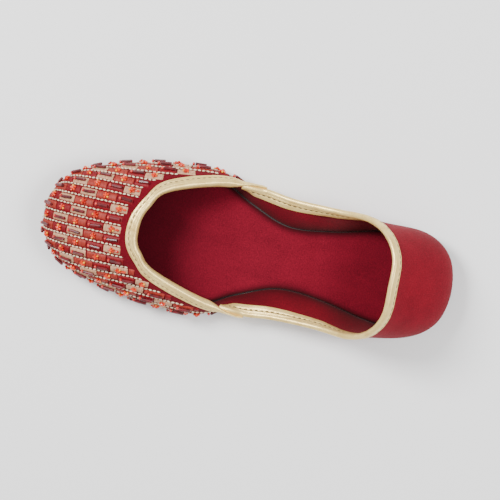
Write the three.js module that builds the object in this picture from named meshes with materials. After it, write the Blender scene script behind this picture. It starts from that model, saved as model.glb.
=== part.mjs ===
// A flat slip-on shoe of the mojari kind, standing empty on its sole.
//
// The shoe is a low red cloth upper lasted over a thin rubber sole, a covered insole inside it, an
// embroidered vamp laid over its front, and a rolled leather binding along each free edge.
//
// Frame, in millimetres: the toe points to -Y and the heel to +Y, X runs across the shoe and Z is
// up. The origin is on the floor under the middle of the shoe. The last is straight, so the sole is
// the same on both sides of the plane X = 0, and only the throat is cut fuller on the +X side.
import * as THREE from "three";

// ---- Driving sizes ----
const LENGTH = 246.8; // of the upper's lower edge, toe to heel
const HALF_BALL = 41; // half the width of that edge at the ball
const COLLAR_HEIGHT = 61; // top edge at the back of the heel, above the floor
const WALL = 1.5; // cloth, board and lining of the upper
const GAP = 0.3; // left between pieces that are glued or sewn together

const FORE_SOLE = 4.0; // sole thickness under the forefoot
const REAR_SOLE = 3.0; // sole thickness from the waist to the heel
const HEEL_LIFT = 3.2; // thickness of the heel lift
const FORE_INSET = 0.2; // how far the outsole stops inside the lower edge at the forefoot
const REAR_TRIM = 0.8; // how much further in it stops from the waist to the heel
const LIFT_INSET = 1.4; // how far the heel lift stops inside the lower edge
const ARCH_RISE = 5.4; // sole's underside above the floor at the waist
const TOE_SPRING = 5.0; // sole's underside above the floor at the toe
const INSOLE = 2.2; // thickness of the covered insole
const CENTRING = 0.8; // moves the edge back so that the whole shoe is centred on the origin
const VAMP = 1.0; // thickness of the embroidered vamp
const BINDING = 0.8; // thickness of the binding's leather
const BINDING_GAP = 0.55; // left between the binding and the wall it is folded over
const BINDING_WIDTH = 5.6; // how far the binding reaches down the wall

// ---- The last: one row for each station round half the shoe, from the heel to the toe ----
// edgeX, edgeY: the lower edge, as shares of HALF_BALL and of LENGTH from the toe.
// topX, topY, topZ: the top edge, as shares of HALF_BALL, LENGTH and COLLAR_HEIGHT.
// bulge, rise: handle at the lower edge, outwards and up.
// reach, drop: handle at the top edge, outwards and down.
// skew: how far the top edge is moved across the shoe, the same way on both sides.
const LAST = [
  //                edgeX  edgeY  topX   topY   topZ   bulge rise  reach drop skew
  /* heel back    */ [0.0, 1.0, 0.0, 0.86, 1.0, 5.0, 17.0, 7.0, 17.0, 0],
  /* heel corner  */ [0.494, 0.979, 0.42, 0.857, 0.97, 4.6, 16.0, 5.0, 16.0, 0],
  /* heel side    */ [0.756, 0.911, 0.72, 0.828, 0.86, 4.0, 14.0, 2.4, 14.0, 0],
  /* seat         */ [0.697, 0.806, 0.869, 0.777, 0.65, 3.4, 11.0, 0.6, 10.0, 0],
  /* rear waist   */ [0.551, 0.696, 0.87, 0.696, 0.44, 2.6, 7.0, -0.8, 6.0, 0],
  /* waist        */ [0.498, 0.587, 0.88, 0.591, 0.315, 2.2, 3.4, -0.6, 3.4, 0],
  /* junction     */ [0.712, 0.489, 0.935, 0.5, 0.255, 2.6, 2.8, -0.2, 2.8, -0.5],
  /* ball         */ [0.98, 0.396, 0.844, 0.399, 0.41, 5.0, 10.0, 4.0, 4.0, -2.6],
  /* fore         */ [0.955, 0.267, 0.6, 0.289, 0.57, 5.6, 16.0, 9.0, 4.6, -3.9],
  /* toe shoulder */ [0.79, 0.139, 0.355, 0.254, 0.635, 6.4, 17.0, 15.0, 5.0, -3.0],
  /* toe corner   */ [0.495, 0.039, 0.18, 0.2395, 0.655, 7.2, 16.0, 22.0, 5.6, -1.9],
  /* toe          */ [0.0, 0.0, 0.0, 0.236, 0.66, 7.2, 15.0, 24.0, 6.0, -1.2],
];
const JUNCTION = 6; // the row where the vamp's rear edge crosses the side
const TOE = LAST.length - 1;
const ROUND = 2 * TOE; // spans round the whole shoe
const STEPS = 5; // facets to a span
const AROUND = ROUND * STEPS;
const UP = 8; // facets up a wall
const END_RUN = 0.12; // rows from the middle line to the end rib of a flat piece
const COLLAR_END = 0.12; // rows from the junction to the end of the collar's binding
const SIDE_LEG = 0.22; // rows that the throat's binding reaches over the vamp at its rear edge

// ---- Small helpers ----
const smooth = (low, high, t) => THREE.MathUtils.smoothstep(t, low, high);
const vec = (x, y, z) => new THREE.Vector3(x, y, z);

// A Catmull-Rom curve through the rows of a closed table, at a row number with a fraction.
function throughRows(rows, at) {
  const count = rows.length;
  const i = Math.floor(at);
  const t = at - i;
  const [a, b, c, d] = [-1, 0, 1, 2].map((k) => rows[(((i + k) % count) + count) % count]);
  return b.map((_, n) => {
    const curve = 2 * b[n] + (c[n] - a[n]) * t + (2 * a[n] - 5 * b[n] + 4 * c[n] - d[n]) * t * t;
    return (curve + (3 * b[n] - a[n] - 3 * c[n] + d[n]) * t * t * t) / 2;
  });
}

// Rows for the whole shoe: the +X side from heel to toe, then the -X side back to the heel.
const ROWS = [];
for (let k = 0; k < ROUND; k++) {
  const side = k <= TOE ? 1 : -1;
  const [edgeX, edgeY, topX, topY, topZ, bulge, rise, reach, drop, skew] = LAST[k <= TOE ? k : ROUND - k];
  ROWS.push([
    side * edgeX * HALF_BALL,
    (edgeY - 0.5) * LENGTH + CENTRING,
    side * topX * HALF_BALL + skew,
    (topY - 0.5) * LENGTH + CENTRING,
    topZ * COLLAR_HEIGHT,
    bulge,
    rise,
    reach,
    drop,
  ]);
}

// ---- The sole's side profile, by the distance y from the middle of the shoe ----
const HEEL_BREAST = 0.22 * LENGTH; // front of the heel lift
const ARCH_AT = 0.07 * LENGTH; // highest point of the waist
const ARCH_SPREAD = 0.105 * LENGTH;
const SPRING_FROM = -0.29 * LENGTH; // where the toe begins to lift

function underside(y) {
  const arch = ARCH_RISE * Math.exp(-(((y - ARCH_AT) / ARCH_SPREAD) ** 2));
  const toe = Math.min(0, (y - SPRING_FROM) / (LENGTH / 2 + SPRING_FROM));
  const heel = (HEEL_LIFT + GAP) * smooth(ARCH_AT, HEEL_BREAST, y);
  return Math.max(arch * smooth(-0.13 * LENGTH, ARCH_AT, y), heel) + TOE_SPRING * toe * toe;
}
const soleThickness = (y) =>
  THREE.MathUtils.lerp(FORE_SOLE, REAR_SOLE, smooth(-0.12 * LENGTH, ARCH_AT, y));
const soleTop = (y) => underside(y) + soleThickness(y);
const featherHeight = (y) => soleTop(y) + GAP;

// ---- The upper's outer surface ----
// Plan outline of the lower edge, and the direction straight out of it.
function edgePoint(at) {
  const [x, y] = throughRows(ROWS, at);
  return vec(x, y, featherHeight(y));
}
function edgeOutward(at) {
  const before = edgePoint(at - 0.04);
  const after = edgePoint(at + 0.04);
  return vec(after.y - before.y, before.x - after.x, 0).normalize().multiplyScalar(-1);
}

// A point of the outer surface: at runs round the shoe in rows, up from 0 at the sole to 1 at the
// top edge along a cubic curve with a handle at each end.
function outerPoint(at, up) {
  const [, , topX, topY, topZ, bulge, rise, reach, drop] = throughRows(ROWS, at);
  const low = edgePoint(at);
  const high = vec(topX, topY, topZ);
  const outward = edgeOutward(at);
  const lowHandle = low.clone().addScaledVector(outward, bulge).add(vec(0, 0, rise));
  const highHandle = high.clone().addScaledVector(outward, reach).add(vec(0, 0, -drop));
  return new THREE.CubicBezierCurve3(low, lowHandle, highHandle, high).getPoint(up);
}

function outerNormal(at, up) {
  const nudge = 0.02;
  const along = outerPoint(at + nudge, up).sub(outerPoint(at - nudge, up));
  const low = Math.max(0, up - nudge);
  const high = Math.min(1, up + nudge);
  const climb = outerPoint(at, high).sub(outerPoint(at, low));
  return climb.cross(along).normalize();
}

// A point that stands proud of the outer surface by depth, or inside it where depth is negative.
const shellPoint = (at, up, depth) => outerPoint(at, up).addScaledVector(outerNormal(at, up), depth);

// ---- Solids from loops of points ----
// Loops of equal length are joined one to the next. A ring's last loop joins its first, and an open
// run gets a flat cap at each end.
function solidFromLoops(loops, ring) {
  const size = loops[0].length;
  const positions = loops.flat().flatMap((p) => [p.x, p.y, p.z]);
  const faces = [];
  const spans = ring ? loops.length : loops.length - 1;
  for (let i = 0; i < spans; i++) {
    for (let j = 0; j < size; j++) {
      const a = i * size + j;
      const b = i * size + ((j + 1) % size);
      const c = ((i + 1) % loops.length) * size + ((j + 1) % size);
      const d = ((i + 1) % loops.length) * size + j;
      faces.push(a, b, c, a, c, d);
    }
  }
  if (!ring) {
    const last = (loops.length - 1) * size;
    capFaces(loops[0]).forEach(([a, b, c]) => faces.push(a, c, b));
    capFaces(loops[loops.length - 1]).forEach(([a, b, c]) => faces.push(last + a, last + b, last + c));
  }
  return facingOut(positions, faces);
}

// Triangles that fill a flat loop, in its own plane.
function capFaces(loop) {
  const centre = loop.reduce((sum, p) => sum.add(p), vec(0, 0, 0)).divideScalar(loop.length);
  const normal = vec(0, 0, 0);
  loop.forEach((p, i) => {
    const q = loop[(i + 1) % loop.length];
    normal.add(p.clone().sub(centre).cross(q.clone().sub(centre)));
  });
  normal.normalize();
  const u = loop[1].clone().sub(loop[0]).normalize();
  const v = normal.clone().cross(u);
  const flat = loop.map((p) => p.clone().sub(centre)).map((p) => new THREE.Vector2(p.dot(u), p.dot(v)));
  return THREE.ShapeUtils.triangulateShape(flat, []);
}

// The geometry of a closed mesh, turned to face out if its volume comes out negative.
function facingOut(positions, faces) {
  const corner = (i) => vec(...positions.slice(3 * i, 3 * i + 3));
  let volume = 0;
  for (let i = 0; i < faces.length; i += 3) {
    volume += corner(faces[i]).dot(corner(faces[i + 1]).cross(corner(faces[i + 2])));
  }
  if (volume < 0) {
    for (let i = 0; i < faces.length; i += 3) {
      [faces[i + 1], faces[i + 2]] = [faces[i + 2], faces[i + 1]];
    }
  }
  const geometry = new THREE.BufferGeometry();
  geometry.setAttribute("position", new THREE.Float32BufferAttribute(positions, 3));
  geometry.setIndex(faces);
  geometry.computeVertexNormals();
  return geometry;
}

// A wall between two depths of the outer surface, as the loop of its section at one station.
function wallSection(at, inside, outside, steps) {
  const outer = [];
  const inner = [];
  for (let k = 0; k <= steps; k++) {
    const up = k / steps;
    outer.push(shellPoint(at, up, outside));
    inner.push(shellPoint(at, up, inside));
  }
  const floor = edgePoint(at).z; // both faces end on the sole
  outer[0].z = floor;
  inner[0].z = floor;
  return [...outer, ...inner.reverse()];
}

// ---- Pieces ----
function upperGeometry() {
  const loops = [];
  for (let i = 0; i < AROUND; i++) loops.push(wallSection(i / STEPS, -WALL, 0, UP));
  return solidFromLoops(loops, true);
}

// The vamp lies over the upper's front, from one junction round the toe to the other.
const VAMP_INSIDE = GAP;
const VAMP_OUTSIDE = GAP + VAMP;
function vampGeometry() {
  const loops = [];
  for (let i = JUNCTION * STEPS; i <= (ROUND - JUNCTION) * STEPS; i++) {
    loops.push(wallSection(i / STEPS, VAMP_INSIDE, VAMP_OUTSIDE, UP));
  }
  return solidFromLoops(loops, false);
}

// A plate built as ribs across the shoe, so that it can follow a curved side profile. Each rib runs
// between a low and a high point of the +X side's outline and the same points mirrored.
function plateFromRibs(ribs) {
  const across = (p, squeeze) => [-1, -0.5, 0, 0.5, 1].map((s) => vec(s * p.x * squeeze, p.y, p.z));
  const loop = ({ low, high }, squeeze = 1) => [...across(low, squeeze), ...across(high, squeeze).reverse()];
  return solidFromLoops(ribs.map((rib) => loop(rib)), false);
}

// The outline of a flat piece of the sole: stations of the +X side that lie behind a given y, with
// a short straight run across at each end.
function outlineStations(from = -LENGTH) {
  const stations = [END_RUN];
  for (let i = 1; i < TOE * STEPS; i++) stations.push(i / STEPS);
  stations.push(TOE - END_RUN);
  return stations.filter((at) => edgePoint(at).y > from);
}

function soleGeometry({ inset, low, high, from }) {
  const ribs = outlineStations(from).map((at) => {
    const p = edgePoint(at);
    p.addScaledVector(edgeOutward(at), -inset(p.y));
    return { low: vec(p.x, p.y, low(p.y)), high: vec(p.x, p.y, high(p.y)) };
  });
  return plateFromRibs(ribs);
}

// The outsole is trimmed in under the upper from the waist to the heel.
const outsoleInset = (y) => FORE_INSET + REAR_TRIM * smooth(-0.12 * LENGTH, 0, y);
const outsoleGeometry = () =>
  soleGeometry({ inset: outsoleInset, low: underside, high: soleTop });
const heelLiftGeometry = () =>
  soleGeometry({ inset: () => LIFT_INSET, low: () => 0, high: () => HEEL_LIFT, from: HEEL_BREAST });

// The insole fills the inside of the wall: its edge leans out with the wall as it rises.
function insoleGeometry() {
  const ribs = outlineStations().map((at) => {
    const low = edgePoint(at).addScaledVector(edgeOutward(at), -WALL - 2 * GAP);
    const height = featherHeight(low.y) + INSOLE;
    let up = 0;
    while (shellPoint(at, up, -WALL - 2 * GAP).z < height) up += 0.01;
    const high = shellPoint(at, up, -WALL - 2 * GAP);
    high.x = Math.max(high.x, 0.5 * low.x);
    return { low, high: vec(high.x, high.y, height) };
  });
  return plateFromRibs(ribs);
}

// ---- Bindings ----
// A binding is a channel folded over the edge of a wall. Its run is a list of places on the wall's
// edge. Each place has the way its legs reach from the edge, as steps legAt and legUp of the outer
// surface, the depths of the two faces of the wall, and the lift of the inner leg's tip, which is
// negative where that leg lies inside the wall.
function bindingSection({ at, up, legAt, legUp, inside, outside, innerTip }) {
  const edge = outerPoint(at, up);
  const intoWall = outerPoint(at + 0.2 * legAt, up + 0.2 * legUp).sub(edge).normalize();
  const place = (lift, depth) => {
    const share = Math.max(0, -lift / BINDING_WIDTH);
    const point = shellPoint(at + share * legAt, up + share * legUp, depth);
    return point.addScaledVector(intoWall, -Math.max(0, lift));
  };
  const innerFace = inside - BINDING_GAP;
  const outerFace = outside + BINDING_GAP;
  const outerLifts = [-BINDING_WIDTH, -0.5 * BINDING_WIDTH, 0];
  const innerLifts = innerTip < 0 ? [innerTip, 0.5 * innerTip, 0] : [0.85, 0.9, 0.95].map((s) => s * GAP);
  return [
    ...outerLifts.map((lift) => place(lift, outerFace + BINDING)),
    place(GAP + 0.75 * BINDING, outerFace + 0.6 * BINDING),
    place(GAP + 1.25 * BINDING, (innerFace + outerFace) / 2),
    place(GAP + 0.75 * BINDING, innerFace - 0.6 * BINDING),
    ...innerLifts.toReversed().map((lift) => place(lift, innerFace - BINDING)),
    ...innerLifts.map((lift) => place(lift, innerFace)),
    place(GAP, innerFace),
    place(GAP, outerFace),
    ...outerLifts.toReversed().map((lift) => place(lift, outerFace)),
  ];
}

// A place on the top edge of a wall.
function topPlace(at, inside, outside) {
  const length = outerPoint(at, 1).distanceTo(outerPoint(at, 0.9)) / 0.1;
  const legUp = -Math.min(0.5, BINDING_WIDTH / length);
  return { at, up: 1, legAt: 0, legUp, inside, outside, innerTip: -BINDING_WIDTH };
}

// The collar's binding runs round the heel from one junction to the other.
function collarBindingGeometry() {
  const places = [];
  for (let i = -JUNCTION * STEPS + 1; i < JUNCTION * STEPS; i++) places.push(topPlace(i / STEPS, -WALL, 0));
  places.unshift(topPlace(COLLAR_END - JUNCTION, -WALL, 0));
  places.push(topPlace(JUNCTION - COLLAR_END, -WALL, 0));
  return solidFromLoops(places.map(bindingSection), false);
}

// The throat's binding runs along the vamp's top edge, turns its rear corner on each side, and goes
// down its rear edge to the sole. There it lies outside the quarter and has no inner leg.
function throatBindingGeometry() {
  const down = [0.04, 0.25, 0.5, 0.75, 0.9].map((up) => ({ at: JUNCTION, up, legAt: SIDE_LEG, legUp: 0 }));
  const corner = [
    { at: JUNCTION, up: 1, legAt: 0.7 * SIDE_LEG, legUp: -0.35 },
    { at: JUNCTION + 0.07, up: 1, legAt: 0.3 * SIDE_LEG, legUp: -0.45 },
  ];
  const outsideOnly = { inside: GAP + BINDING + BINDING_GAP, outside: VAMP_OUTSIDE, innerTip: 0.1 };
  const side = [...down, ...corner].map((place) => ({ ...place, ...outsideOnly }));
  const overTop = { ...topPlace(JUNCTION + 1 / STEPS, -WALL, VAMP_OUTSIDE), innerTip: 0.1 };
  const start = [...side, overTop];
  const mirrored = start.map((place) => ({ ...place, at: ROUND - place.at, legAt: -place.legAt })).reverse();
  const top = [];
  for (let i = JUNCTION * STEPS + 2; i < (ROUND - JUNCTION) * STEPS - 1; i++) {
    top.push(topPlace(i / STEPS, -WALL, VAMP_OUTSIDE));
  }
  return solidFromLoops([...start, ...top, ...mirrored].map(bindingSection), false);
}

// ---- Materials and the assembly ----
const finish = (color, roughness, metalness = 0) =>
  new THREE.MeshStandardMaterial({ color, roughness, metalness });
const redCloth = finish(0x9e1f33, 0.9);
const embroidery = finish(0xa83a38, 0.75);
const goldLeather = finish(0xd9c894, 0.45, 0.3);
const blackRubber = finish(0x2b2a29, 0.7);

const shoe = new THREE.Group();
function addPiece(name, geometry, material) {
  const piece = new THREE.Mesh(geometry, material);
  piece.name = name;
  shoe.add(piece);
}

addPiece("upper", upperGeometry(), redCloth);
addPiece("vamp", vampGeometry(), embroidery);
addPiece("insole", insoleGeometry(), redCloth);
addPiece("outsole", outsoleGeometry(), blackRubber);
addPiece("heel_lift", heelLiftGeometry(), blackRubber);
addPiece("throat_binding", throatBindingGeometry(), goldLeather);
addPiece("collar_binding", collarBindingGeometry(), goldLeather);

export default shoe;
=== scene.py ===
"""Looks of a mojari shoe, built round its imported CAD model.

The CAD model gives the shoe's walls, sole and bindings as plain solids. This script repeats the
design's surface function at a fine pitch for the cloth, and adds the bindings' rolled leather, the
stitches, and the vamp's satin blocks, cords and beads. Lengths are in millimetres until a mesh is
made. The toe points to -Y, the heel to +Y, and Z is up.
"""

import math
import random

import bpy
import numpy as np
from mathutils import Matrix, Vector
from mathutils.bvhtree import BVHTree


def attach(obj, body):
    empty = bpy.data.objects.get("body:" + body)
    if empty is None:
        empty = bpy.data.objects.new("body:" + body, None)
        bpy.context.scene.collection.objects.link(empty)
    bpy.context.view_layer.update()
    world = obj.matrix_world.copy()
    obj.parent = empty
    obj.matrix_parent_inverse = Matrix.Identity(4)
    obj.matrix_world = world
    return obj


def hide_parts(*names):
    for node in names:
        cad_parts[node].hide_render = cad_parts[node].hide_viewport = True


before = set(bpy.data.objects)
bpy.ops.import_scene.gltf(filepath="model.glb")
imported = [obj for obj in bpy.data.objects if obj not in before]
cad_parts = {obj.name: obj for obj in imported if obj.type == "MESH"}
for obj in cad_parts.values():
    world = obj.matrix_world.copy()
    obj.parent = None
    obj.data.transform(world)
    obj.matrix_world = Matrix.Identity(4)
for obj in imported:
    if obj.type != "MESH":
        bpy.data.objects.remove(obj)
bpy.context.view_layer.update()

MM = 0.001
random.seed(7)

# ---- The design's driving sizes, as in the part's source ----
LENGTH = 246.8
HALF_BALL = 41.0
COLLAR_HEIGHT = 61.0
CENTRING = 0.8
WALL = 1.5
GAP = 0.3
FORE_SOLE = 4.0
REAR_SOLE = 3.0
HEEL_LIFT = 3.2
ARCH_RISE = 5.4
TOE_SPRING = 5.0
INSOLE = 2.2
VAMP = 1.0
BINDING = 0.8
BINDING_WIDTH = 5.6
FORE_INSET = 0.2  # how far the outsole stops inside the lower edge at the forefoot
REAR_TRIM = 0.8  # how much further in it stops from the waist to the heel
LIFT_INSET = 1.4  # how far the heel lift stops inside the lower edge

# ---- Where the looks differ from the plain solids ----
BINDING_GAP = 0.3  # between a binding and its wall, closer than the solid binding lies
TOE_PADDING = 2.3  # how far the wadding under the embroidery rounds out the toe
TAIL_FOOT = 0.1  # rows ahead of the junction, where the throat binding meets the sole
TAIL_LEAN = 0.12  # rows behind it, where the binding crosses the collar
VAMP_INSIDE = GAP
VAMP_OUTSIDE = GAP + VAMP
# The most that painted shade darkens cloth, as a share of the way to a tenth of its colour.
MOST_PAINTED_SHADE = 0.9

# One row for each station round half the shoe, from the heel to the toe.
COLUMNS = ["edge_x", "edge_y", "top_x", "top_y", "top_z", "bulge", "rise", "reach", "drop", "skew"]
LAST = {
    "heel back": (0.0, 1.0, 0.0, 0.86, 1.0, 5.0, 17.0, 7.0, 17.0, 0.0),
    "heel corner": (0.494, 0.979, 0.42, 0.857, 0.97, 4.6, 16.0, 5.0, 16.0, 0.0),
    "heel side": (0.756, 0.911, 0.72, 0.828, 0.86, 4.0, 14.0, 2.4, 14.0, 0.0),
    "seat": (0.697, 0.806, 0.869, 0.777, 0.65, 3.4, 11.0, 0.6, 10.0, 0.0),
    "rear waist": (0.551, 0.696, 0.87, 0.696, 0.44, 2.6, 7.0, -0.8, 6.0, 0.0),
    "waist": (0.498, 0.587, 0.88, 0.591, 0.315, 2.2, 3.4, -0.6, 3.4, 0.0),
    "junction": (0.712, 0.489, 0.935, 0.5, 0.255, 2.6, 2.8, -0.2, 2.8, -0.5),
    "ball": (0.98, 0.396, 0.844, 0.399, 0.41, 5.0, 10.0, 4.0, 4.0, -2.6),
    "fore": (0.955, 0.267, 0.6, 0.289, 0.57, 5.6, 16.0, 9.0, 4.6, -3.9),
    "toe shoulder": (0.79, 0.139, 0.355, 0.254, 0.635, 6.4, 17.0, 15.0, 5.0, -3.0),
    "toe corner": (0.495, 0.039, 0.18, 0.2395, 0.655, 7.2, 16.0, 22.0, 5.6, -1.9),
    "toe": (0.0, 0.0, 0.0, 0.236, 0.66, 7.2, 15.0, 24.0, 6.0, -1.2),
}
JUNCTION = list(LAST).index("junction")
TOE = len(LAST) - 1
ROUND = 2 * TOE


# ---- The shoe's surface ----
def whole_round():
    """Rows of the table in millimetres for the whole shoe: the +X side, then the -X side."""
    table = list(LAST.values())
    rows = []
    for k in range(ROUND):
        side = 1 if k <= TOE else -1
        row = dict(zip(COLUMNS, table[k if k <= TOE else ROUND - k]))
        rows.append(
            [
                side * row["edge_x"] * HALF_BALL,
                (row["edge_y"] - 0.5) * LENGTH + CENTRING,
                side * row["top_x"] * HALF_BALL + row["skew"],
                (row["top_y"] - 0.5) * LENGTH + CENTRING,
                row["top_z"] * COLLAR_HEIGHT,
                row["bulge"],
                row["rise"],
                row["reach"],
                row["drop"],
            ]
        )
    return np.array(rows)


ROWS = whole_round()
HEEL_BREAST = 0.22 * LENGTH
ARCH_AT = 0.07 * LENGTH
ARCH_SPREAD = 0.105 * LENGTH
SPRING_FROM = -0.29 * LENGTH


def smooth(low, high, t):
    t = np.clip((np.asarray(t, float) - low) / (high - low), 0, 1)
    return t * t * (3 - 2 * t)


def through_rows(at):
    """A Catmull-Rom curve through the rows, at row numbers with a fraction."""
    at = np.asarray(at, float)
    i = np.floor(at).astype(int)
    t = (at - i)[..., None]
    a, b, c, d = [ROWS[(i + k) % ROUND] for k in (-1, 0, 1, 2)]
    curve = 2 * b + (c - a) * t + (2 * a - 5 * b + 4 * c - d) * t**2 + (3 * b - a - 3 * c + d) * t**3
    return curve / 2


def underside(y):
    y = np.asarray(y, float)
    arch = ARCH_RISE * np.exp(-(((y - ARCH_AT) / ARCH_SPREAD) ** 2))
    toe = np.minimum(0, (y - SPRING_FROM) / (LENGTH / 2 + SPRING_FROM))
    heel = (HEEL_LIFT + GAP) * smooth(ARCH_AT, HEEL_BREAST, y)
    return np.maximum(arch * smooth(-0.13 * LENGTH, ARCH_AT, y), heel) + TOE_SPRING * toe * toe


def feather_height(y):
    thickness = FORE_SOLE + (REAR_SOLE - FORE_SOLE) * smooth(-0.12 * LENGTH, ARCH_AT, y)
    return underside(y) + thickness + GAP


def points(*columns):
    return np.stack(np.broadcast_arrays(*columns), -1)


def unit(v):
    return v / np.maximum(np.linalg.norm(v, axis=-1, keepdims=True), 1e-9)


def edge_point(at):
    rows = through_rows(at)
    return points(rows[..., 0], rows[..., 1], feather_height(rows[..., 1]))


def edge_outward(at):
    before, after = edge_point(np.asarray(at) - 0.04), edge_point(np.asarray(at) + 0.04)
    return unit(points(before[..., 1] - after[..., 1], after[..., 0] - before[..., 0], 0.0))


def outer_point(at, up):
    """A point of the upper's outer face: at runs round the shoe, up from the sole to the top edge."""
    at, up = np.broadcast_arrays(np.asarray(at, float), np.asarray(up, float))
    rows = through_rows(at)
    low, high, outward = edge_point(at), rows[..., 2:5], edge_outward(at)
    low_handle = low + outward * rows[..., 5:6] + points(0.0, 0.0, rows[..., 6])
    high_handle = high + outward * rows[..., 7:8] - points(0.0, 0.0, rows[..., 8])
    u = up[..., None]
    return (
        (1 - u) ** 3 * low
        + 3 * (1 - u) ** 2 * u * low_handle
        + 3 * (1 - u) * u**2 * high_handle
        + u**3 * high
    )


def outer_normal(at, up):
    at, up = np.broadcast_arrays(np.asarray(at, float), np.asarray(up, float))
    nudge = 0.02
    along = outer_point(at + nudge, up) - outer_point(at - nudge, up)
    climb = outer_point(at, np.minimum(1, up + nudge)) - outer_point(at, np.maximum(0, up - nudge))
    return unit(np.cross(climb, along))


def shell_point(at, up, depth):
    return outer_point(at, up) + outer_normal(at, up) * np.asarray(depth, float)[..., None]


# ---- Meshes ----
def add_mesh(name, verts, faces, material, replaces=(), flat=False, painted_shade=None):
    """A piece from points in millimetres, which rides with the shoe. Its optional per-point values are
    painted shade, which darkens its cloth.
    """
    mesh = bpy.data.meshes.new(name)
    face_lists = faces if isinstance(faces, list) else faces.tolist()
    mesh.from_pydata((np.asarray(verts) * MM).tolist(), [], face_lists)
    mesh.update()
    mesh.polygons.foreach_set("use_smooth", [not flat] * len(mesh.polygons))
    # Painted shade: a per-point darkening that the cloth materials read.
    if painted_shade is not None:
        mesh.attributes.new("painted_shade", "FLOAT", "POINT").data.foreach_set("value", np.ravel(painted_shade))
    piece = bpy.data.objects.new(name, mesh)
    bpy.context.scene.collection.objects.link(piece)
    mesh.materials.append(material)
    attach(piece, "root")
    if replaces:
        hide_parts(*replaces)


def grid_faces(rows, columns, ring_rows=False, ring_columns=False):
    """Quads of a grid of points, closed round either way if asked."""
    i = np.arange(rows if ring_rows else rows - 1)
    j = np.arange(columns if ring_columns else columns - 1)
    i, j = [k.ravel() for k in np.meshgrid(i, j, indexing="ij")]
    next_i, next_j = (i + 1) % rows, (j + 1) % columns
    row, next_row = i * columns, next_i * columns
    return np.stack([row + j, row + next_j, next_row + next_j, next_row + j], 1)


def tube_faces(rows, columns):
    """Quads of an open run of closed sections, with a flat cap at each end."""
    faces = grid_faces(rows, columns, ring_columns=True).tolist()
    faces.append(list(range(columns))[::-1])
    faces.append([(rows - 1) * columns + k for k in range(columns)])
    return faces


def outward_faces(verts, faces):
    """The faces, turned if their mesh would be inside out."""
    verts = np.asarray(verts)
    volume = 0.0
    for face in faces:
        a = verts[face[0]]
        for k in range(1, len(face) - 1):
            volume += np.dot(a, np.cross(verts[face[k]], verts[face[k + 1]]))
    return [list(face)[::-1] for face in faces] if volume < 0 else [list(face) for face in faces]


# ---- Materials ----
def new_material(name, color, roughness, **settings):
    """A Principled material with constant settings on its own sockets."""
    material = bpy.data.materials.new(name)
    material.use_nodes = True
    shader = material.node_tree.nodes["Principled BSDF"]
    shader.inputs["Base Color"].default_value = (*color, 1)
    shader.inputs["Roughness"].default_value = roughness
    for socket, value in settings.items():
        shader.inputs[socket.replace("_", " ")].default_value = value
    return material


def node(material, kind, **values):
    made = material.node_tree.nodes.new(kind)
    for key, value in values.items():
        if key in made.inputs:
            made.inputs[key].default_value = value
        else:
            setattr(made, key, value)
    return made


def link(material, source, target):
    material.node_tree.links.new(source, target)


def noise(material, scale, detail=2.0, stretch=None):
    """Noise in the shoe's own frame, with scale in features to the metre."""
    place = node(material, "ShaderNodeTexCoord")
    made = node(material, "ShaderNodeTexNoise", Scale=scale, Detail=detail)
    if stretch:
        mapping = node(material, "ShaderNodeMapping", Scale=stretch)
        link(material, place.outputs["Object"], mapping.inputs["Vector"])
        link(material, mapping.outputs["Vector"], made.inputs["Vector"])
    else:
        link(material, place.outputs["Object"], made.inputs["Vector"])
    return made.outputs["Fac"]


def vary_color(material, factor, dark, light, low=0.3, high=0.7):
    """Base colour between two colours, by a factor."""
    ramp = node(material, "ShaderNodeValToRGB")
    ramp.color_ramp.elements[0].position = low
    ramp.color_ramp.elements[1].position = high
    ramp.color_ramp.elements[0].color = (*dark, 1)
    ramp.color_ramp.elements[1].color = (*light, 1)
    link(material, factor, ramp.inputs["Fac"])
    shader = material.node_tree.nodes["Principled BSDF"]
    link(material, ramp.outputs["Color"], shader.inputs["Base Color"])
    return ramp


def add_bump(material, height, distance, strength=1.0):
    bump = node(material, "ShaderNodeBump", Strength=strength, Distance=distance)
    link(material, height, bump.inputs["Height"])
    link(material, bump.outputs["Normal"], material.node_tree.nodes["Principled BSDF"].inputs["Normal"])


def mixed(material, a, b, share):
    mix = node(material, "ShaderNodeMix", data_type="FLOAT")
    mix.inputs["Factor"].default_value = share
    link(material, a, mix.inputs["A"])
    link(material, b, mix.inputs["B"])
    return mix.outputs["Result"]


def suede(name, color):
    """Brushed cloth: patches where the nap lies another way, a fine fibre bump, and painted shade from a
    per-point attribute, which mixes the colour toward a tenth of itself.
    """
    material = new_material(name, color, 0.92, Sheen_Weight=0.1, Sheen_Roughness=0.5, Specular_IOR_Level=0.1)
    material.node_tree.nodes["Principled BSDF"].inputs["Sheen Tint"].default_value = (1.0, 0.5, 0.5, 1)
    fibre = noise(material, 1500, 4)
    patches = noise(material, 95, 3, (1.0, 0.45, 1.0))
    dark = tuple(0.6 * c for c in color)
    light = tuple(1.35 * c for c in color)
    ramp = vary_color(material, mixed(material, fibre, patches, 0.28), dark, light, 0.3, 0.7)
    # Painted shade: the per-point attribute darkens the cloth where the shoe's inside and its seams lie in
    # shade.
    painted_shade = node(material, "ShaderNodeAttribute", attribute_name="painted_shade")
    shaded = node(material, "ShaderNodeMix", data_type="RGBA")
    socket = {item.identifier: item for item in shaded.inputs}
    socket["B_Color"].default_value = (0.1 * color[0], 0.1 * color[1], 0.1 * color[2], 1)
    link(material, painted_shade.outputs["Fac"], socket["Factor_Float"])
    link(material, ramp.outputs["Color"], socket["A_Color"])
    result = {item.identifier: item for item in shaded.outputs}["Result_Color"]
    link(material, result, material.node_tree.nodes["Principled BSDF"].inputs["Base Color"])
    add_bump(material, fibre, 0.00025, 0.8)
    return material


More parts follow.
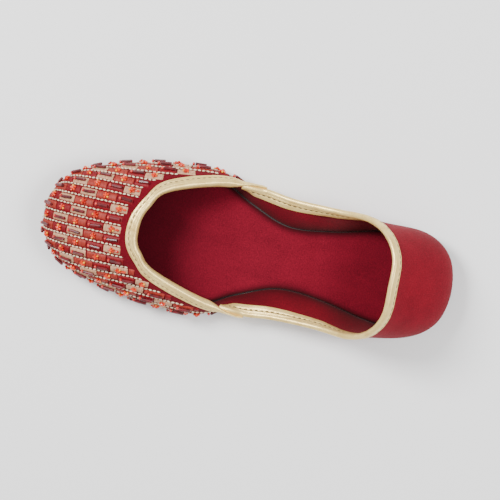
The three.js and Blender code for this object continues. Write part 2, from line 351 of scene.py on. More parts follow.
def satin(name, color):
    """Silk floss laid across a block: fine threads that differ a little in colour."""
    material = new_material(name, color, 0.55, Specular_IOR_Level=0.28)
    threads = noise(material, 900, 3, (0.25, 2.2, 1.0))
    dark = tuple(0.55 * c for c in color)
    light = tuple(min(1, 1.3 * c) for c in color)
    vary_color(material, threads, dark, light, 0.3, 0.7)
    add_bump(material, threads, 0.0002, 0.6)
    return material


def gold_leather():
    color = (0.84, 0.6, 0.24)
    material = new_material("gold_leather", color, 0.34, Metallic=0.42, Specular_IOR_Level=0.5)
    grain = noise(material, 1700, 4)
    patches = noise(material, 160, 3)
    uneven = mixed(material, grain, patches, 0.6)
    vary_color(material, uneven, (0.67, 0.45, 0.14), (0.95, 0.73, 0.29), 0.3, 0.7)
    add_bump(material, grain, 0.0002, 0.5)
    return material


def zari():
    """Cream cord wound with pale metal thread."""
    material = new_material("zari_cord", (0.78, 0.64, 0.42), 0.45, Metallic=0.15)
    strands = noise(material, 1500, 3)
    vary_color(material, strands, (0.42, 0.28, 0.14), (0.9, 0.78, 0.56), 0.3, 0.62)
    add_bump(material, strands, 0.0003, 0.8)
    return material


def glass(name, color, dark, roughness=0.3):
    shine = {"Coat_Weight": 0.15, "Coat_Roughness": 0.12, "Specular_IOR_Level": 0.45}
    material = new_material(name, color, roughness, **shine)
    vary_color(material, noise(material, 260, 1), dark, color, 0.35, 0.6)
    return material


def rubber():
    material = new_material("sole_rubber", (0.03, 0.029, 0.028), 0.7, Specular_IOR_Level=0.35)
    grain = noise(material, 1400, 3)
    uneven = mixed(material, grain, noise(material, 60, 3), 0.5)
    vary_color(material, uneven, (0.018, 0.017, 0.016), (0.045, 0.043, 0.041))
    add_bump(material, grain, 0.0002, 0.5)
    return material


def thread(name, color):
    material = new_material(name, color, 0.7)
    strands = noise(material, 3000, 2)
    vary_color(material, strands, tuple(0.6 * c for c in color), color)
    add_bump(material, strands, 0.0002, 0.6)
    return material


RED = (0.18, 0.0032, 0.012)
MATERIALS = {
    "outside": suede("red_suede", RED),
    "insole": suede("insole_suede", (0.15, 0.004, 0.014)),
    "ground": suede("vamp_ground", (0.12, 0.002, 0.008)),
    "deep red": satin("satin_deep_red", (0.19, 0.002, 0.006)),
    "brick": satin("satin_brick", (0.29, 0.026, 0.016)),
    "cream": satin("satin_cream", (0.52, 0.28, 0.16)),
    "gold": gold_leather(),
    "zari": zari(),
    "orange": glass("orange_glass", (0.74, 0.045, 0.003), (0.46, 0.007, 0.001)),
    # Painted glint: yellow glass that stands in for the highlights on the orange beads, one bead to a
    # flower.
    "painted_glint": glass("painted_glint_glass", (0.95, 0.42, 0.04), (0.85, 0.2, 0.01)),
    "coral": glass("coral_glass", (0.62, 0.04, 0.03), (0.42, 0.015, 0.012)),
    "wine": glass("wine_glass", (0.14, 0.002, 0.007), (0.06, 0.001, 0.003), 0.45),
    "rubber": rubber(),
    "tan thread": thread("tan_thread", (0.26, 0.17, 0.07)),
    "dark thread": thread("dark_thread", (0.05, 0.03, 0.015)),
}


# ---- Cloth walls ----
def crease(at, up):
    """Soft troughs and ridges of the lasted cloth, in millimetres out from the plain wall."""
    waist = 0.35 * np.sin(9.0 * up + 5.5 * at) * np.exp(-(((np.abs(at - TOE) - 6.2) / 0.9) ** 2))
    counter = 0.2 * np.sin(2.2 * at + 3.0 * up) * smooth(7.5, 9.5, np.abs(at - TOE))
    toe_notch = -0.9 * np.exp(-(((at - TOE) / 0.16) ** 2)) * np.exp(-((up / 0.2) ** 2))
    toe_padding = TOE_PADDING * np.exp(-(((at - TOE) / 1.9) ** 2))
    return (waist + counter + toe_notch + toe_padding) * np.sin(np.pi * np.clip(up, 0, 1))


def wall_mesh(ats, inside, outside, up_steps):
    """Sections of a wall between two depths of the outer face, each a closed loop."""
    up = np.linspace(0, 1, up_steps + 1)
    at_grid, up_grid = np.meshgrid(ats, up, indexing="ij")
    offset = crease(at_grid, up_grid)
    outer = shell_point(at_grid, up_grid, outside + offset)
    inner = shell_point(at_grid, up_grid, inside + offset)
    floor = edge_point(ats)[:, 2]
    outer[:, 0, 2] = floor
    inner[:, 0, 2] = floor
    return np.concatenate([outer, inner[:, ::-1]], 1)


def make_upper():
    stations = np.linspace(0, ROUND, ROUND * 14, endpoint=False)
    sections = wall_mesh(stations, -WALL, 0.0, 28)
    rows, columns = sections.shape[:2]
    faces = grid_faces(rows, columns, ring_rows=True, ring_columns=True).tolist()
    verts = sections.reshape(-1, 3)
    faces = outward_faces(verts, faces)
    # Painted shade on the wall's inner face: a little darker all over, much darker just above the insole,
    # and darker in the toe box, where the inside lies in shade.
    above = np.maximum(0, sections[..., 2] - feather_height(sections[..., 1]) - INSOLE)
    inside = np.arange(columns) >= columns // 2
    toe_box = smooth(-0.2 * LENGTH, -0.34 * LENGTH, sections[..., 1])
    painted_shade = inside * np.clip(0.25 + 0.55 * np.exp(-above / 4.5) + 0.3 * toe_box, 0, MOST_PAINTED_SHADE)
    add_mesh("upper_cloth", verts, faces, MATERIALS["outside"], ["upper"], painted_shade=painted_shade)


def vamp_grid(stations, up_steps):
    """Places over the vamp, whose rear edges lean back as they rise."""
    share, up = np.meshgrid(np.linspace(0, 1, stations), np.linspace(0, 1, up_steps + 1), indexing="ij")
    rear = JUNCTION + TAIL_FOOT - (TAIL_FOOT + TAIL_LEAN) * np.minimum(1, up / 0.9)
    return rear + (ROUND - 2 * rear) * share, up


def make_vamp():
    at, up = vamp_grid(201, 32)
    offset = crease(at, up)
    outer = shell_point(at, up, VAMP_OUTSIDE + offset)
    inner = shell_point(at, up, VAMP_INSIDE + offset)
    sections = np.concatenate([outer, inner[:, ::-1]], 1)
    rows, columns = sections.shape[:2]
    verts = sections.reshape(-1, 3)
    faces = outward_faces(verts, tube_faces(rows, columns))
    add_mesh("vamp_cloth", verts, faces, MATERIALS["ground"], ["vamp"])


def make_insole():
    """A covered footbed with a softly rolled rim, from the wall in to the shoe's middle line."""
    stations = np.linspace(0, ROUND, ROUND * 16, endpoint=False)
    wall = edge_point(stations) - edge_outward(stations) * (WALL + 0.5 * GAP)
    spine_y = np.clip(wall[:, 1], -0.36 * LENGTH, 0.38 * LENGTH)
    shares = [(0.0, 0.0), (0.004, 0.3), (0.012, 0.58), (0.026, 0.8), (0.048, 0.94), (0.08, 1.0)]
    shares += [(s, 1.0) for s in np.linspace(0.11, 1.0, 16)]
    rings = []
    for inward, height in shares:
        x = wall[:, 0] * (1 - inward)
        y = wall[:, 1] + (spine_y - wall[:, 1]) * inward
        lean = 0.45 * height * (1 - inward) * np.sign(wall[:, 0]) * smooth(0, 8, np.abs(wall[:, 0]))
        hollow = 0.6 * inward * smooth(0.1 * LENGTH, 0.3 * LENGTH, y)
        rings.append(points(x + lean, y, feather_height(y) + INSOLE * height - hollow))
    grid = np.stack(rings, 1)
    verts = grid.reshape(-1, 3)
    faces = grid_faces(grid.shape[0], grid.shape[1], ring_rows=True)[:, ::-1]
    # Painted shade on the insole: darkest along its rim by the wall, where the seam lies in shade, and
    # darker toward the toe, under the vamp.
    from_wall = np.linalg.norm((grid - grid[:, :1])[..., :2], axis=2)
    toe_box = smooth(0.02 * LENGTH, -0.3 * LENGTH, grid[..., 1])
    painted_shade = np.clip(0.85 * np.exp(-((from_wall / 2.8) ** 2)) + 0.6 * toe_box, 0, MOST_PAINTED_SHADE)
    add_mesh("insole_cover", verts, faces, MATERIALS["insole"], ["insole"], painted_shade=painted_shade)


# ---- Bindings ----
def binding_profile(width, stitch_outer, stitch_inner):
    """The rolled leather's two legs, the outer from its tip to the ridge and the inner from there
    to its tip, as lifts above the wall's edge and heights above the leg's inner face."""
    profile = []
    shares = np.linspace(1, 0, 21)
    for side, stitch in ((1, stitch_outer), (-1, stitch_inner)):
        leg = []
        for share in shares:
            puff = 0.7 + 0.3 * math.sqrt(max(0.0, 1 - (2 * share - 1) ** 4))
            groove = 0.5 * math.exp(-(((share - stitch) / 0.07) ** 2))
            groove += 0.4 * math.exp(-(((share - 0.2) / 0.06) ** 2))
            tip = 0.25 if share == 1 else 1.0
            leg.append((-share * width, BINDING * puff * tip * (1 - groove)))
        profile.append(leg if side == 1 else leg[::-1])
    return profile


class Run:
    """Places along a wall's edge, with the way the binding's legs reach from each."""

    def __init__(self, at, up, leg_at, leg_up, inside, outside, inner_share, outer_share, raised):
        values = [at, up, leg_at, leg_up, inside, outside, inner_share, outer_share, raised]
        names = ["at", "up", "leg_at", "leg_up", "inside", "outside", "inner_share", "outer_share", "raised"]
        for name, value in zip(names, np.broadcast_arrays(*[np.asarray(v, float) for v in values])):
            setattr(self, name, value)
        self.shares = np.linspace(0, 1, 25)
        path_at = self.at[:, None] + self.shares * self.leg_at[:, None]
        path_up = self.up[:, None] + self.shares * self.leg_up[:, None]
        steps = np.linalg.norm(np.diff(outer_point(path_at, path_up), axis=1), axis=2)
        self.reach = np.concatenate([np.zeros((len(self.at), 1)), np.cumsum(steps, 1)], 1)

    def spot(self, lift):
        """Where the leg stands at a distance down from the edge, measured along the cloth."""
        down = np.maximum(0, -np.broadcast_to(lift, self.at.shape))
        share = np.array([np.interp(d, row, self.shares) for d, row in zip(down, self.reach)])
        return self.at + share * self.leg_at, self.up + share * self.leg_up

    def place(self, lift, depth):
        """Points at a lift above the edge, or down the legs where lift is negative."""
        point = shell_point(*self.spot(lift), depth)
        edge = outer_point(self.at, self.up)
        into = unit(outer_point(self.at + 0.1 * self.leg_at, self.up + 0.1 * self.leg_up) - edge)
        return point - into * np.maximum(0, lift)[..., None]


def binding_sections(run, stitch_outer, stitch_inner):
    outer_leg, inner_leg = binding_profile(BINDING_WIDTH, stitch_outer, stitch_inner)
    inner_face = run.inside - BINDING_GAP
    outer_face = run.outside + BINDING_GAP
    pull = 1 + 0.1 * np.sin(11.0 * run.at) * np.sin(4.3 * run.at + 1.0)
    sections = []
    for lift, height in outer_leg:
        sections.append(run.place(lift * run.outer_share, outer_face + height * pull))
    half = (outer_face - inner_face) / 2 + 0.55 * BINDING
    middle = (outer_face + inner_face) / 2
    for angle in np.linspace(0, math.pi, 11)[1:-1]:
        depth = middle + half * math.cos(angle)
        sections.append(run.place((GAP + 1.3 * BINDING + run.raised) * math.sin(angle) ** 0.8, depth))
    for lift, height in inner_leg:
        sections.append(run.place(lift * run.inner_share, inner_face - height * pull))
    for lift, _ in inner_leg[::-3]:
        sections.append(run.place(lift * run.inner_share, inner_face))
    sections.append(run.place(np.full_like(run.at, 0.5 * GAP), middle))
    for lift, _ in outer_leg[::-3]:
        sections.append(run.place(lift * run.outer_share, outer_face))
    return np.stack(sections, 1)


UNDER_VAMP = 0.42  # rows that the collar's binding goes on under the vamp
LEG_UP = -0.7  # the stretches of wall in which a leg ends
LEG_AT = 0.5
THROAT_SEAM = 0.6  # shares of the way down a leg
COLLAR_SEAM = 0.75
INNER_SEAM = 0.5
NO_SEAM = 2.0
INNER_WIDER = 1.3  # how much wider the collar binding is inside
STITCH_PITCH = 3.4
STITCH_LIFT = 0.6 * BINDING  # height of a stitch's middle above the leg's inner face
STITCH = (1.1, 0.34, 0.3)  # half sizes
INNER_STITCH = (1.1, 0.36, 0.28)


def collar_run():
    reach = JUNCTION + UNDER_VAMP
    at = np.linspace(-reach, reach, 420)
    past = smooth(JUNCTION - TAIL_LEAN - 0.1, JUNCTION - TAIL_LEAN + 0.04, np.abs(at))
    fade = INNER_WIDER * (1 - 0.4 * smooth(JUNCTION, reach, np.abs(at)))
    return Run(at, 1.0, 0.0, LEG_UP, -WALL, -0.35 * past, fade, 1 - 0.96 * past, -0.5 * past)


def throat_run():
    """Up one side of the vamp's rear edge, round the throat, and down the other side."""
    corner_up = np.array([0.0, 0.3, 0.6, 0.86, 0.95, 0.99, 1.0, 1.0])
    leaning = np.array([0.0, 0.32, 0.63, 0.92, 1.0, 0.86, 0.5, -0.1])
    corner_at = JUNCTION + TAIL_FOOT - (TAIL_FOOT + TAIL_LEAN) * leaning
    corner_side = np.array([1.0, 1.0, 1.0, 1.0, 0.85, 0.5, 0.15, 0.0])
    share = np.linspace(0, 1, 40)
    knots = np.linspace(0, 1, len(corner_up))
    at_half, up_half, side = [np.interp(share, knots, c) for c in (corner_at, corner_up, corner_side)]
    for curve in (at_half, up_half, side):
        for _ in range(6):
            curve[1:-1] = (curve[:-2] + 2 * curve[1:-1] + curve[2:]) / 4
    top = np.linspace(JUNCTION + 0.13, ROUND - JUNCTION - 0.13, 380)
    at = np.concatenate([at_half, top, ROUND - at_half[::-1]])
    up = np.concatenate([up_half, np.ones_like(top), up_half[::-1]])
    leg_at = np.concatenate([LEG_AT * side, np.zeros_like(top), -LEG_AT * side[::-1]])
    leg_up = np.concatenate([LEG_UP * (1 - side), np.full_like(top, LEG_UP), LEG_UP * (1 - side[::-1])])
    over = smooth(0.18, 0.75, np.minimum(at - JUNCTION, ROUND - JUNCTION - at))
    inside = (GAP + BINDING + 0.2) * (1 - over) - WALL * over
    raised = 0.9 * (1 - over) * smooth(0.9, 0.99, up)
    return Run(at, up, leg_at, leg_up, inside, VAMP_OUTSIDE, 0.06 + 0.94 * over, 1.0, raised)


def make_binding(name, run, stitch_outer, stitch_inner, node_name):
    sections = binding_sections(run, stitch_outer, stitch_inner)
    rows, columns = sections.shape[:2]
    verts = sections.reshape(-1, 3)
    faces = outward_faces(verts, tube_faces(rows, columns))
    add_mesh(name, verts, faces, MATERIALS["gold"], [node_name])


# ---- Small repeated things ----
def ellipsoid(rings=6, sides=8):
    """A unit sphere as verts and quads."""
    verts, faces = [(0.0, 0.0, -1.0)], []
    for i in range(1, rings):
        angle = math.pi * i / rings
        for j in range(sides):
            turn = 2 * math.pi * j / sides
            radius = math.sin(angle)
            verts.append((radius * math.cos(turn), radius * math.sin(turn), -math.cos(angle)))
    verts.append((0.0, 0.0, 1.0))
    for j in range(sides):
        faces.append((0, 1 + (j + 1) % sides, 1 + j))
    for i in range(rings - 2):
        for j in range(sides):
            a, b = 1 + i * sides + j, 1 + i * sides + (j + 1) % sides
            faces.append((a, b, b + sides, a + sides))
    last, top = 1 + (rings - 2) * sides, len(verts) - 1
    for j in range(sides):
        faces.append((last + j, last + (j + 1) % sides, top))
    return np.array(verts), faces


def bugle_shape(sides=8):
    """A unit tube bead along X, from -1 to 1, with flat, bevelled ends."""
    rings = [(-1.0, 0.45), (-1.0, 0.9), (-0.94, 1.0), (0.94, 1.0), (1.0, 0.9), (1.0, 0.45)]
    verts = [
        (x, r * math.cos(2 * math.pi * j / sides), r * math.sin(2 * math.pi * j / sides))
        for x, r in rings
        for j in range(sides)
    ]
    faces = [tuple(range(sides))]
    for i in range(len(rings) - 1):
        for j in range(sides):
            a, b = i * sides + j, i * sides + (j + 1) % sides
            faces.append((a, a + sides, b + sides, b))
    faces.append(tuple(reversed(range(5 * sides, 6 * sides))))
    return np.array(verts), faces


class Heap:
    """Many copies of a small shape, joined into one piece."""

    def __init__(self, shape):
        self.shape_verts, self.shape_faces = shape
        self.verts, self.faces, self.count = [], [], 0

    def add(self, centre, axes, sizes):
        """A copy with the three unit axes and half sizes given."""
        placed = (self.shape_verts * np.asarray(sizes)) @ np.asarray(axes) + np.asarray(centre)
        self.verts.append(placed)
        self.faces += [tuple(self.count + k for k in face) for face in self.shape_faces]
        self.count += len(placed)

    def make(self, name, material, slot, flat=False):
        verts = np.concatenate(self.verts)
        add_mesh(name, verts, self.faces, MATERIALS[material], flat=flat)


def axes_from(tangent, normal, turn=0.0):
    tangent = unit(tangent)
    across = unit(np.cross(normal, tangent))
    normal = np.cross(tangent, across)
    turned = tangent * math.cos(turn) + across * math.sin(turn)
    return np.array([turned, np.cross(normal, turned), normal])


def stitch_row(heap, line, normals, pitch, half_sizes):
    """Stitches at a pitch along a line of points."""
    steps = np.linalg.norm(np.diff(line, axis=0), axis=1)
    along = np.concatenate([[0], np.cumsum(steps)])
    for distance in np.arange(pitch, along[-1] - pitch, pitch):
        centre = np.array([np.interp(distance, along, line[:, k]) for k in range(3)])
        ahead = np.array([np.interp(distance + 0.5, along, line[:, k]) for k in range(3)])
        normal = unit(np.array([np.interp(distance, along, normals[:, k]) for k in range(3)]))
        heap.add(centre, axes_from(ahead - centre, normal), half_sizes)


def make_stitches(throat, collar):
    tan, dark = Heap(ellipsoid()), Heap(ellipsoid())
    for run, heap, keep, seam in (
        (throat, tan, throat.up > 0.1, -THROAT_SEAM * BINDING_WIDTH),
        (collar, dark, np.abs(collar.at) < JUNCTION - 0.1, -COLLAR_SEAM * BINDING_WIDTH),
    ):
        line = run.place(np.full_like(run.at, seam), run.outside + BINDING_GAP + STITCH_LIFT)
        normals = outer_normal(*run.spot(seam))
        stitch_row(heap, line[keep], normals[keep], STITCH_PITCH, STITCH)
    seam = INNER_WIDER * (-INNER_SEAM * BINDING_WIDTH)
    line = collar.place(np.full_like(collar.at, seam), collar.inside - BINDING_GAP - STITCH_LIFT)
    stitch_row(dark, line, -outer_normal(*collar.spot(seam)), STITCH_PITCH, INNER_STITCH)
    tan.make("throat_stitches", "tan thread", "gold_binding")
    dark.make("collar_stitches", "dark thread", "gold_binding")


# ---- Embroidery ----
STRIP = 6.2  # from one cord to the next
SATIN_HALF = 2.35  # half the width of a satin block
PLAIN_BAND = 2.4  # left plain beside the throat's binding
BORDER = 2.6  # left plain above the sole
NOTCH = 2.6  # how much higher the plain border rises at the toe's middle
NOTCH_HALF = 7.0
WAVE = 0.7  # how far the border's edge waves up and down
STRIPS = 11  # strips each side of the middle one
SATIN_COLUMNS = 9
SHORTEST_BLOCK = 2.2
BEADED_BLOCK = 5.0  # shorter blocks carry no beads
BEAD_LIFT = 0.75  # how high beads sit on a satin block
DROP_BEAD = (1.7, 0.8, 0.75)  # half sizes
SEED_BEAD = (0.9, 1.1, 1.05)
BUGLE_HALF = 3.4
BUGLE_RADIUS = 0.9
CORD_PITCH = 2.6
CORD_LINK = (1.2, 0.58, 0.5)
BLOCKS = (("deep red", 10.8), ("cream", 11.4), ("brick", 13.2))  # in order from the toe
THROAT_ROW = 0.5  # the rows of blocks bow round the throat by this times the strip's number squared


class VampMap:
    """The vamp's outer face laid out flat: across it by wrapped distance, along it by y."""

    def __init__(self):
        at, up = vamp_grid(321, 60)
        face = shell_point(at, up, VAMP_OUTSIDE + crease(at, up))
        quads = grid_faces(*at.shape)
        tree = BVHTree.FromPolygons(face.reshape(-1, 3).tolist(), quads.tolist())
        self.rim = np.concatenate([face[:, -1], face[0], face[-1]])
        toe_y, rear_y = face[..., 1].min(), face[..., 1].max()
        self.y = np.concatenate([np.arange(toe_y + 0.1, toe_y + 8, 0.25), np.arange(toe_y + 8, rear_y, 1.0)])
        self.w = np.arange(-70, 70.01, STRIP / 12)
        self.point = np.full((len(self.y), len(self.w), 3), np.nan)
        self.normal = np.full_like(self.point, np.nan)
        for j, y in enumerate(self.y):
            self.lay_slice(tree, j, y)

    def lay_slice(self, tree, j, y):
        """One slice across the vamp, from rays out of a line inside it."""
        base = float(feather_height(y)) + BORDER
        origin = Vector((0.0, y, base))
        for side in (1, -1):
            hits, normals = [], []
            for angle in np.radians(np.arange(90, -0.1, -1.25)):
                direction = Vector((side * math.cos(angle), 0, math.sin(angle)))
                hit, normal, _, _ = tree.ray_cast(origin, direction)
                if hit is not None and (not hits or (hit - hits[-1]).length < 8):
                    hits.append(hit)
                    normals.append(normal if normal.dot(direction) > 0 else -normal)
            if len(hits) < 4:
                continue
            hits, normals = np.array(hits), np.array(normals)
            steps = np.linalg.norm(np.diff(hits, axis=0), axis=1)
            wrapped = abs(hits[0, 0]) + np.concatenate([[0], np.cumsum(steps)])
            mine = (self.w * side >= wrapped[0] - 1e-6) & (self.w * side <= wrapped[-1])
            target = self.w[mine] * side
            for store, values in ((self.point, hits), (self.normal, normals)):
                store[j, mine] = np.stack([np.interp(target, wrapped, values[:, k]) for k in range(3)], 1)

    def clear_of_rim(self, place):
        gaps = np.linalg.norm(place[:, None] - self.rim[None], axis=2).min(1)
        return gaps > BINDING_WIDTH + PLAIN_BAND

    def line(self, w):
        """The points of one line along the vamp that lie clear of the rim, from the toe back."""
        i = int(round((w - self.w[0]) / (self.w[1] - self.w[0])))
        i = min(max(i, 0), len(self.w) - 1)
        good = np.isfinite(self.point[:, i, 0])
        if good.sum() < 6:
            return None
        place, normal, y = self.point[good, i], self.normal[good, i], self.y[good]
        keep = self.clear_of_rim(place)
        notch = NOTCH * math.exp(-((w / NOTCH_HALF) ** 2))
        rise = WAVE * math.sin(2.3 * w / STRIP + 0.6) + notch
        keep &= place[:, 2] > feather_height(y) + BORDER + rise
        if keep.sum() < 6:
            return None
        return place[keep], unit(normal[keep]), y[keep]


def resample(values, along, distance):
    return np.stack([np.interp(distance, along, values[:, k]) for k in range(values.shape[1])], -1)


def strip_lines(vamp):
    """Each strip's middle line, as points, normals, y and distance along it from the toe."""
    strips = {}
    for k in range(-STRIPS, STRIPS + 1):
        middle = vamp.line(k * STRIP)
        if middle is None:
            continue
        place, normal, y = middle
        along = np.concatenate([[0], np.cumsum(np.linalg.norm(np.diff(place, axis=0), axis=1))])
        strips[k] = (place, normal, y, along)
    return strips


def chart(k, anchor, total):
    """The blocks of strip k: colour, start, end and number, counted from the throat's row."""
    first = 0 if k % 2 else 1
    blocks = []
    number, end = 0, anchor
    while end > 0:
        colour, length = BLOCKS[(first + number) % 3]
        blocks.append((colour, end - length, end, number))
        end -= length
        number -= 1
    number, start = 1, anchor
    while start < total:
        colour, length = BLOCKS[(first + number) % 3]
        blocks.append((colour, start, start + length, number))
        start += length
        number += 1
    return blocks


def satin_block(heaps, colour, place, normal, along, start, end):
    """A raised block of floss between two distances along a strip."""
    length = end - start
    if length < SHORTEST_BLOCK:
        return
    rows = max(8, int(length / 0.24))
    distance = np.linspace(start, end, rows)
    centre = resample(place, along, distance)
    up = unit(resample(normal, along, distance))
    ahead = unit(np.gradient(centre, axis=0))
    across = unit(np.cross(up, ahead))
    thread_ridge = 0.14 * np.cos(2 * math.pi * distance / 0.62)
    ends = np.clip(np.minimum(distance - start, end - distance) / 0.5, 0, 1) ** 0.5
    ragged = 0.12 * np.sin(distance * 7.3 + start)
    for share in np.linspace(-1, 1, SATIN_COLUMNS):
        crown = (1 - share**4) * 0.95
        height = (crown + thread_ridge * (1 - share**2)) * ends - 0.25
        offset = share * (SATIN_HALF + ragged)
        column = centre + across * offset[:, None] + up * (height - offset**2 / 70)[:, None]
        heaps[colour]["columns"].append(column)
    heaps[colour]["blocks"].append(rows)


def flower(beads, glints, centre, axes, radius):
    """A cluster of faceted beads: a large one in the middle and five round it, one of them yellow as a
    painted glint.
    """
    ahead, across, up = axes
    beads.add(centre + up * radius * 1.05, axes_from(ahead, up, 0.4), (1.15 * radius, 1.15 * radius, radius))
    yellow = random.randrange(5)
    for n in range(5):
        turn = 2 * math.pi * (n + 0.5) / 5
        offset = (ahead * math.cos(turn) + across * math.sin(turn)) * 1.45 * radius
        heap = glints if n == yellow else beads
        heap.add(centre + offset + up * radius * 0.5, axes_from(ahead, up, turn), (radius * 0.76,) * 3)


def make_embroidery():
    vamp = VampMap()
    strips = strip_lines(vamp)
    throat_y = strips[0][2][-1]
    heaps = {name: {"columns": [], "blocks": []} for name, _ in BLOCKS}
    orange, yellow, coral = Heap(ellipsoid(4, 6)), Heap(ellipsoid(4, 6)), Heap(ellipsoid(5, 8))
    wine, cord = Heap(bugle_shape()), Heap(ellipsoid(4, 6))
    for k, (place, normal, y, along) in strips.items():
        anchor_y = throat_y + THROAT_ROW * k * k
        anchor = np.interp(anchor_y, y, along) + max(0.0, anchor_y - y[-1])
        for colour, start, end, number in chart(k, anchor, along[-1]):
            start = max(0.0, start) + 0.15 + random.uniform(-0.2, 0.2)
            end = min(along[-1], end) - 0.15 + random.uniform(-0.2, 0.2)
            if end - start < 1.5:
                continue
            satin_block(heaps, colour, place, normal, along, start, end)
            if end - start > BEADED_BLOCK:
                with_flower = (number + k) % 2 == 0
                throat_end = number == 0 and with_flower and abs(k) < 6
                spot = 0.5 * (start + end) + random.uniform(-0.4, 0.4)
                heaps_of_beads = (orange, yellow, coral, wine)
                add_beads(heaps_of_beads, (place, normal, along), spot, end - start, with_flower, throat_end)
    for k in range(-STRIPS, STRIPS):
        cord_line(vamp, cord, (k + 0.5) * STRIP)
    for name, _ in BLOCKS:
        satin_piece(name, heaps[name])
    orange.make("flower_beads", "orange", "embroidery", flat=True)
    # Painted glint: yellow beads in place of the flowers' highlights.
    yellow.make("glint_beads", "painted_glint", "embroidery", flat=True)
    coral.make("seed_beads", "coral", "embroidery")
    wine.make("bugle_beads", "wine", "embroidery", flat=True)
    cord.make("zari_cords", "zari", "embroidery")


def local_axes(place, normal, along, distance):
    centre = resample(place, along, np.array([distance]))[0]
    ahead = resample(place, along, np.array([distance + 0.5]))[0]
    behind = resample(place, along, np.array([distance - 0.5]))[0]
    up = unit(resample(normal, along, np.array([distance]))[0])
    return centre, axes_from(ahead - behind, up)


def add_beads(heaps, line, spot, length, with_flower, throat_end):
    """On every other block a flower, and on the rest a seed bead with a bugle behind it."""
    orange, yellow, coral, wine = heaps
    centre, axes = local_axes(*line, spot)
    if with_flower:
        flower(orange, yellow, centre + axes[2] * BEAD_LIFT, axes, random.uniform(0.9, 1.02))
        if throat_end:
            drop, drop_axes = local_axes(*line, spot + 3.4)
            orange.add(drop + drop_axes[2] * (BEAD_LIFT + 0.6), drop_axes, DROP_BEAD)
        return
    half = min(BUGLE_HALF, 0.32 * length)
    tube, tube_axes = local_axes(*line, spot + 1.0)
    turn = random.uniform(-0.12, 0.12)
    turned = axes_from(tube_axes[0], tube_axes[2], turn)
    wine.add(tube + tube_axes[2] * (BEAD_LIFT + 0.95), turned, (half, BUGLE_RADIUS, BUGLE_RADIUS))
    seed, seed_axes = local_axes(*line, max(0.3, spot - half))
    coral.add(seed + seed_axes[2] * (BEAD_LIFT + 0.8), seed_axes, SEED_BEAD)


def cord_line(vamp, heap, w):
    """A chain-stitched cord: short plump links, each a little turned."""
    line = vamp.line(w)
    if line is None:
        return
    place, normal, _ = line
    along = np.concatenate([[0], np.cumsum(np.linalg.norm(np.diff(place, axis=0), axis=1))])
    for n, distance in enumerate(np.arange(0.6, along[-1] - 0.4, CORD_PITCH)):
        centre, axes = local_axes(place, normal, along, distance)
        turn = (0.2 if n % 2 else -0.2) + random.uniform(-0.08, 0.08)
        heap.add(centre + axes[2] * 0.4, axes_from(axes[0], axes[2], turn), CORD_LINK)


def satin_piece(colour, heap):
    verts, faces, count, column = [], [], 0, 0
    for rows in heap["blocks"]:
        columns = heap["columns"][column : column + SATIN_COLUMNS]
        column += SATIN_COLUMNS
        grid = np.stack(columns, 1)
        verts.append(grid.reshape(-1, 3))
        faces += (grid_faces(rows, SATIN_COLUMNS)[:, ::-1] + count).tolist()
        count += rows * SATIN_COLUMNS
    name = "satin_" + colour.replace(" ", "_")
    add_mesh(name, np.concatenate(verts), faces, MATERIALS[colour])


# ---- Sole ----
def spread_sheet(loop, spine_y, rings):
    """A closed sheet over a footprint loop. Each ring is a distance in from the loop or a share of
    the way to the middle line, and a function for its height."""
    before, after = np.roll(loop, 1, 0), np.roll(loop, -1, 0)
    along = unit(points(after[:, 0] - before[:, 0], after[:, 1] - before[:, 1], 0.0))
    inward = points(along[:, 1], -along[:, 0], 0.0)
    grid = []
    for inset, share, height in rings:
        ring = loop + inward * inset
        x = ring[:, 0] * (1 - share)
        y = ring[:, 1] + (np.clip(ring[:, 1], *spine_y) - ring[:, 1]) * share
        grid.append(points(x, y, height(y)))
    return np.stack(grid, 1)


def sole_rings(low, high, round_edge):
    """Rings from the middle of the underside, round the softened edge, to the middle of the top."""
    rings = [(0.0, share, low) for share in (1.0, 0.8, 0.6, 0.4, 0.22, 0.1)]
    rings.append((2.0 * round_edge, 0.0, low))
    for turn in np.radians([0, 30, 60, 90]):
        inset = round_edge * (1 - math.sin(turn))
        lift = round_edge * (1 - math.cos(turn))
        rings.append((inset, 0.0, lambda y, lift=lift: low(y) + lift))
    for turn in np.radians([90, 45, 0]):
        inset = round_edge * (1 - math.sin(turn))
        drop = round_edge * (1 - math.cos(turn))
        rings.append((inset, 0.0, lambda y, drop=drop: high(y) - drop))
    rings += [(0.0, share, high) for share in (0.1, 0.3, 0.6, 1.0)]
    return rings


def sheet_piece(name, grid, material, replaced):
    verts = grid.reshape(-1, 3)
    faces = outward_faces(verts, grid_faces(*grid.shape[:2], ring_rows=True).tolist())
    add_mesh(name, verts, faces, MATERIALS[material], [replaced])


def outsole_inset(y):
    return FORE_INSET + REAR_TRIM * smooth(-0.12 * LENGTH, 0, y)


def make_sole():
    stations = np.linspace(0, ROUND, ROUND * 16, endpoint=False)
    edge = edge_point(stations)
    loop = edge - edge_outward(stations) * outsole_inset(edge[:, 1])[:, None]
    spine_y = (-0.38 * LENGTH, 0.4 * LENGTH)
    rings = sole_rings(underside, lambda y: feather_height(y) - GAP, 0.5)
    sheet_piece("outsole_rubber", spread_sheet(loop, spine_y, rings), "rubber", "outsole")


def make_heel_lift():
    stations = np.linspace(-5, 5, 400)
    edge = edge_point(stations)
    loop = (edge - edge_outward(stations) * LIFT_INSET)[edge[:, 1] > HEEL_BREAST]
    breast = np.linspace(loop[-1], loop[0], 24)[1:-1]
    loop = np.concatenate([loop, breast])
    spine_y = (HEEL_BREAST + 12, 0.4 * LENGTH)
    rings = sole_rings(np.zeros_like, lambda y: np.full_like(y, HEEL_LIFT), 0.5)
    sheet_piece("heel_rubber", spread_sheet(loop, spine_y, rings), "rubber", "heel_lift")


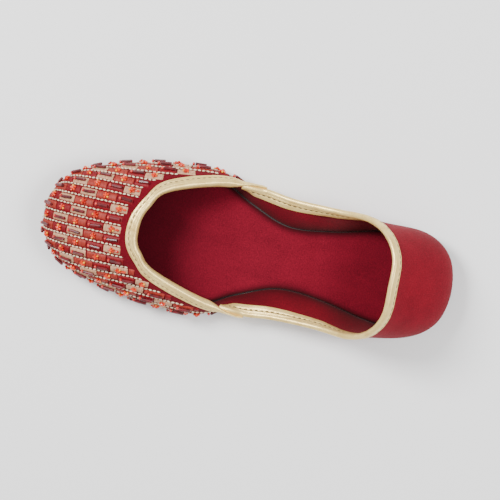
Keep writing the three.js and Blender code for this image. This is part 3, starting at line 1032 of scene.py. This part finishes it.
# ---- Stage ----
def make_floor():
    half = 3.0
    mesh = bpy.data.meshes.new("floor")
    corners = [(-half, -half, 0), (half, -half, 0), (half, half, 0), (-half, half, 0)]
    mesh.from_pydata(corners, [], [(0, 1, 2, 3)])
    floor = bpy.data.objects.new("floor", mesh)
    bpy.context.scene.collection.objects.link(floor)
    mesh.materials.append(new_material("floor_paper", (0.95, 0.95, 0.95), 0.9))


def area_light(name, place, size, power):
    light = bpy.data.lights.new(name, "AREA")
    light.shape = "DISK"
    light.size = size
    light.energy = power
    lamp = bpy.data.objects.new(name, light)
    lamp.location = place
    lamp.rotation_euler = (Vector((0, 0, 0.02)) - Vector(place)).to_track_quat("-Z", "Y").to_euler()
    bpy.context.scene.collection.objects.link(lamp)


def make_lights():
    world = bpy.data.worlds.new("studio")
    bpy.context.scene.world = world
    world.use_nodes = True
    world.node_tree.nodes["Background"].inputs["Color"].default_value = (1.0, 1.0, 1.0, 1)
    world.node_tree.nodes["Background"].inputs["Strength"].default_value = 0.64
    area_light("key", (-0.4, -0.7, 1.0), 0.45, 22)
    area_light("fill", (-0.1, 0.75, 1.0), 0.6, 13)


def make_camera():
    place = Vector((-114.0, 94.1, 1121.5)) * MM
    aim = Vector((-1.5, 2.0, 16.0)) * MM
    picture_up = Vector((-0.982, -0.186, 0.0))
    back = (place - aim).normalized()
    right = picture_up.cross(back).normalized()
    up = back.cross(right)
    camera = bpy.data.objects.new("camera", bpy.data.cameras.new("camera"))
    camera.matrix_world = Matrix.Translation(place) @ Matrix((right, up, back)).transposed().to_4x4()
    camera.data.lens = 134
    camera.data.sensor_width = 36
    camera.data.clip_end = 20
    bpy.context.scene.collection.objects.link(camera)
    bpy.context.scene.camera = camera


make_camera()
make_lights()
make_floor()
make_upper()
make_vamp()
make_insole()
make_sole()
make_heel_lift()
throat, collar = throat_run(), collar_run()
make_binding("throat_edging", throat, THROAT_SEAM, NO_SEAM, "throat_binding")
make_binding("collar_edging", collar, COLLAR_SEAM, INNER_SEAM, "collar_binding")
make_stitches(throat, collar)
make_embroidery()
